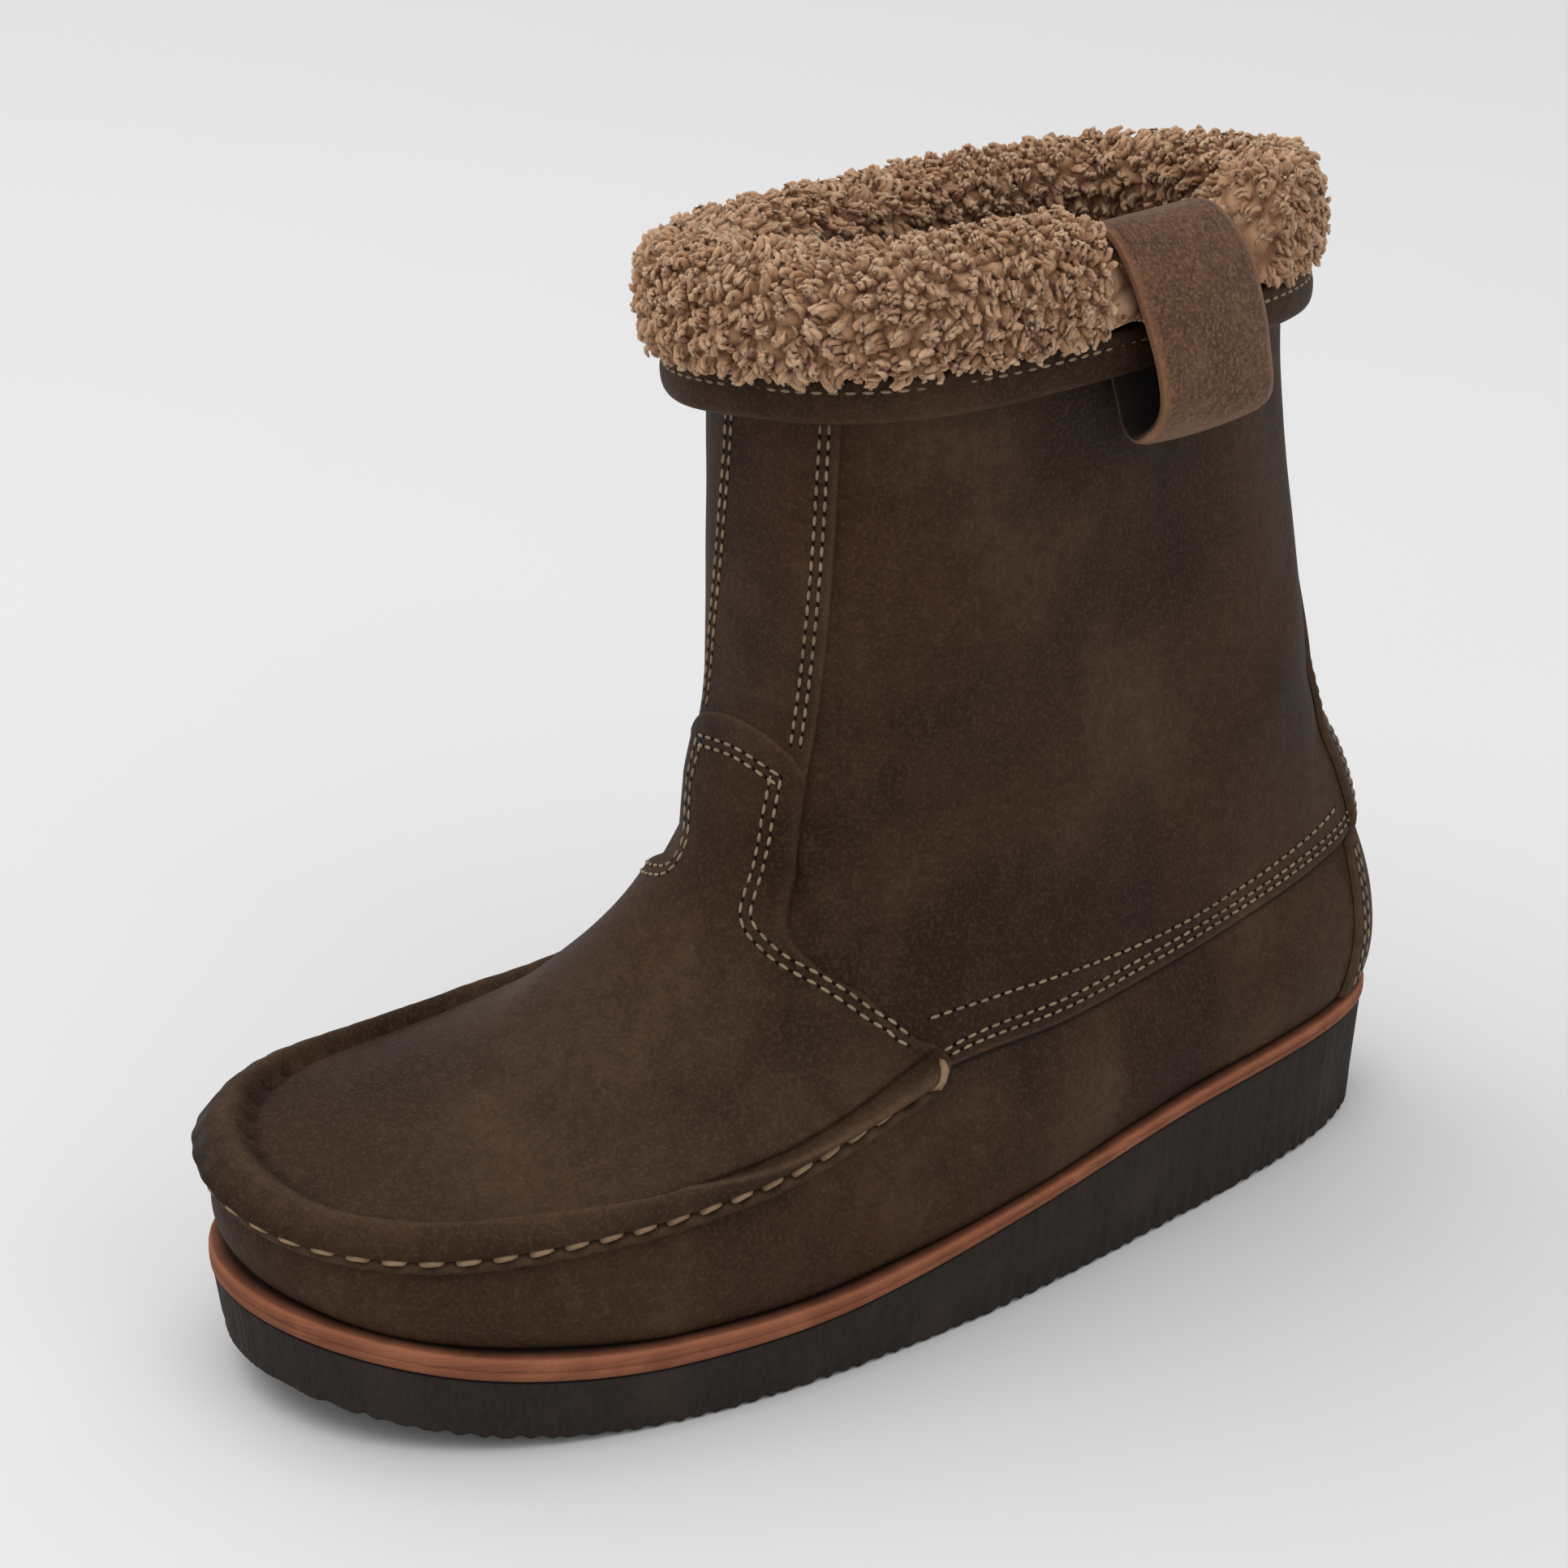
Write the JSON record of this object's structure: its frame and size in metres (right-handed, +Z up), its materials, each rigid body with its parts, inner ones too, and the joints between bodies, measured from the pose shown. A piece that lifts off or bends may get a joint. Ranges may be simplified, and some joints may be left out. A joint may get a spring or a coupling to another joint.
{
  "type": "mukluk boot",
  "caption": "Pull-on mukluk boot for the left foot: moccasin-toe leather upper, turned-down shearling cuff with one pull loop on its outer side, leather midsole and rubber wedge sole.",
  "frame": {"origin": "on the floor under the ankle, on the flat of the tread", "axes": "+Z up out of the sole, -Y towards the toe, +X towards the outer side of the foot"},
  "size_m": [0.1146, 0.3028, 0.2512],
  "materials": {
    "outsole": "matt, finely ribbed on the side",
    "midsole": "burnished edge",
    "insole": "matt",
    "upper": "waxed nubuck, rubbed lighter in places",
    "vamp": "waxed nubuck",
    "front_strip": "waxed nubuck",
    "backstay": "waxed nubuck",
    "heel_counter": "waxed nubuck",
    "fleece_cuff": "curly sheepskin pile",
    "hem_band": "waxed nubuck",
    "pull_loop": "suede"
  },
  "bodies": {
    "root": {"outsole": "outsole", "midsole": "midsole", "insole": "insole", "upper": "upper", "vamp": "vamp", "front_strip": "front_strip", "backstay": "backstay", "heel_counter": "heel_counter", "fleece_cuff": "fleece_cuff", "hem_band": "hem_band", "pull_loop": "pull_loop"}
  },
  "joints": []
}
